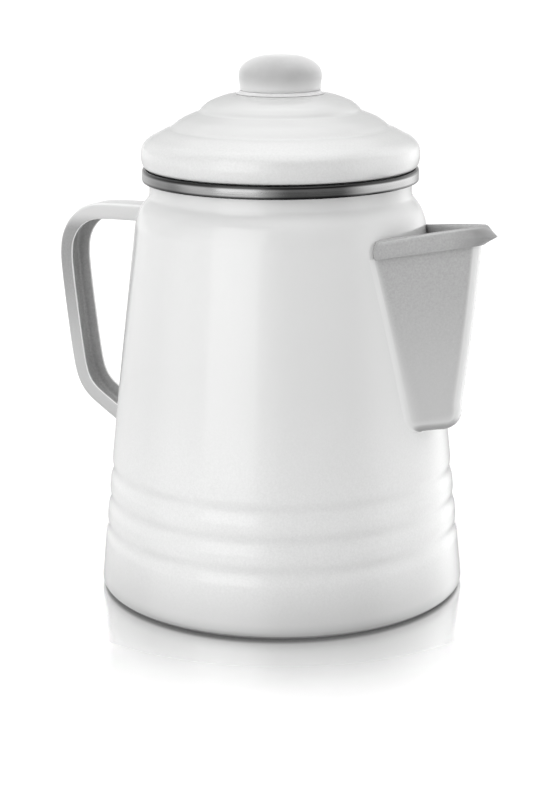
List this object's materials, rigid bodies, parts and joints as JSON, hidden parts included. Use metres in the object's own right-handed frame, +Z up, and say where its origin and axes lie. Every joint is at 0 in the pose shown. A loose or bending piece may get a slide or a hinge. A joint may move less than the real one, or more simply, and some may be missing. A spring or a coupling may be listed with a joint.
{
  "type": "coffee percolator",
  "caption": "Stovetop coffee percolator: white enamelled pot with spout and handle, stepped lid with a hollow knob, and a lift-out pump stem and basket.",
  "frame": {"origin": "centre of the pot's flat base, on the surface it stands on", "axes": "+Z up along the pot's axis, +X towards the spout, the handle at -X"},
  "size_m": [0.1992, 0.15, 0.216],
  "materials": {
    "enamel": "glossy white vitreous enamel on steel sheet",
    "bright_steel": "polished stainless steel",
    "knob": "pale, translucent, glossy",
    "gasket": "grey silicone",
    "aluminium": "satin"
  },
  "bodies": {
    "pot": {"pot_body": "enamel", "rim_ring": "bright_steel", "spout": "enamel", "handle": "enamel"},
    "stem": {"stem_tube": "aluminium", "stem_foot": "aluminium", "valve_seat": "aluminium", "stem_collar": "aluminium"},
    "washer": {"pump_washer": "bright_steel"},
    "basket": {"basket_cup": "aluminium", "basket_sleeve": "aluminium"},
    "cover": {"basket_cover": "aluminium"},
    "lid": {"lid_shell": "enamel", "lid_skirt": "enamel", "knob_gasket": "gasket", "knob_lock_ring": "bright_steel"},
    "knob": {"lid_knob": "knob"}
  },
  "joints": [
    {"name": "stem_lift", "type": "slide", "parent": "pot", "child": "stem", "axis": [0, 0, 1], "range_m": [0, 0.18]},
    {"name": "washer_lift", "type": "slide", "parent": "stem", "child": "washer", "axis": [0, 0, 1], "range_m": [0, 0.003]},
    {"name": "basket_lift", "type": "slide", "parent": "stem", "child": "basket", "axis": [0, 0, 1], "range_m": [0, 0.105]},
    {"name": "cover_lift", "type": "slide", "parent": "basket", "child": "cover", "axis": [0, 0, 1], "range_m": [0, 0.055]},
    {"name": "lid_lift", "type": "slide", "parent": "cover", "child": "lid", "axis": [0, 0, 1], "range_m": [0, 0.06]},
    {"name": "knob_turn", "type": "hinge", "parent": "lid", "child": "knob", "pos_m": [0, 0, 0.2024], "axis": [0, 0, 1], "range_deg": [0, 90]}
  ]
}
